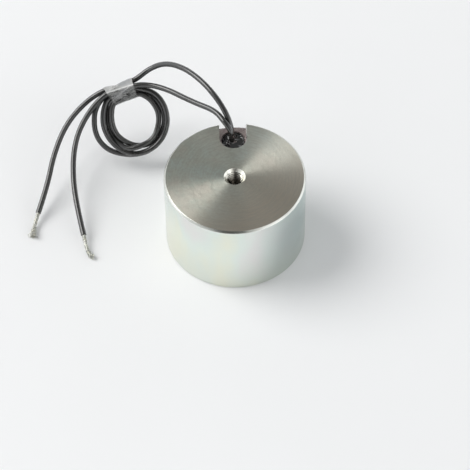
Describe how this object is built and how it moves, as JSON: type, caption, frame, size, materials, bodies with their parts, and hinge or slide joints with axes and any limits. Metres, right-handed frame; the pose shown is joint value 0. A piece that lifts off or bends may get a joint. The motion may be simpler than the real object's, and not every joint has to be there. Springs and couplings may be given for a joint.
{
  "type": "holding electromagnet",
  "caption": "Round pot holding electromagnet with a tapped hole on the back, a lead slot, and two thin insulated leads coiled and taped together with stripped ends.",
  "frame": {"origin": "centre of the holding face, which the magnet stands on", "axes": "+Z from the holding face to the back face, along the tapped hole; +Y towards the lead slot; the coiled leads lie on the -X +Y side"},
  "size_m": [0.0792, 0.0631, 0.0327],
  "materials": {
    "plated_steel": "turned back face, bright zinc plating",
    "former_plastic": "natural nylon",
    "copper_wire": "enamelled",
    "wrap_film": "smooth film",
    "resin": "cast, glossy",
    "sleeve": "woven glass sleeving",
    "lead_insulation": "satin",
    "tinned_strands": "tinned copper strands",
    "tape_film": "clear tape, creased"
  },
  "bodies": {
    "root": {"pot_body": "plated_steel", "coil_former": "former_plastic", "coil_winding": "copper_wire", "winding_wrap": "wrap_film", "potting_resin": "resin", "exit_seal": "resin", "splice_sleeve_1": "sleeve", "splice_sleeve_2": "sleeve", "winding_wire_1": "copper_wire", "winding_wire_2": "copper_wire", "lead_1_inner": "lead_insulation", "lead_2_inner": "lead_insulation", "lead_1_run": "lead_insulation", "lead_2_run": "lead_insulation", "lead_1_tail": "lead_insulation", "lead_2_tail": "lead_insulation", "leads_coil": "lead_insulation", "lead_1_strands": "tinned_strands", "lead_2_strands": "tinned_strands", "binding_tape": "tape_film"}
  },
  "joints": []
}
